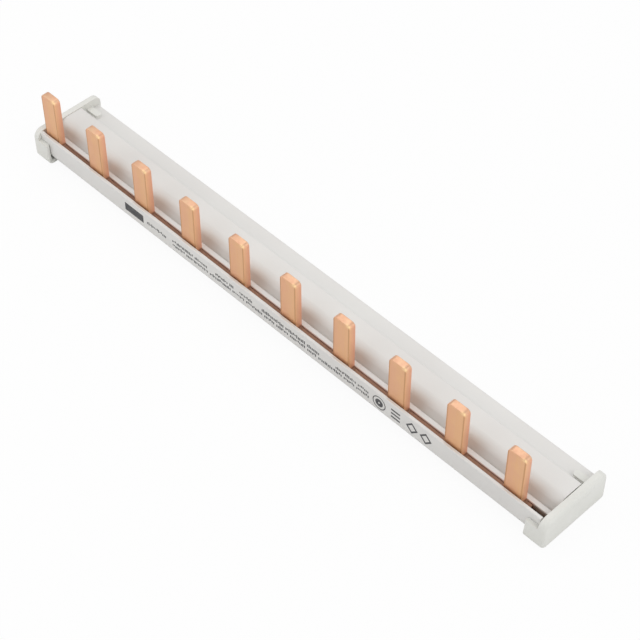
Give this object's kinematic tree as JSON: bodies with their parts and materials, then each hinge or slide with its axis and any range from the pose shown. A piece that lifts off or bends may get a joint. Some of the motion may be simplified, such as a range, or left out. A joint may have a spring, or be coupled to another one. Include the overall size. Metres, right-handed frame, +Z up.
{
  "type": "comb busbar",
  "caption": "Straight pin-type copper comb busbar in a light grey plastic profile, closed by an end cap at each end.",
  "frame": {"origin": "under the middle of the bar, on the plane that the two end caps stand on", "axes": "+X along the bar, +Y towards its back, away from the row of pins, +Z up along the pins"},
  "size_m": [0.1756, 0.021, 0.0214],
  "materials": {
    "copper": "bare rolled copper, satin",
    "profile_plastic": "extruded, semi-gloss light grey",
    "cap_plastic": "moulded, satin light grey"
  },
  "bodies": {
    "root": {"copper_comb": "copper", "insulating_profile": "profile_plastic", "end_cap_left": "cap_plastic", "end_cap_right": "cap_plastic"}
  },
  "joints": []
}
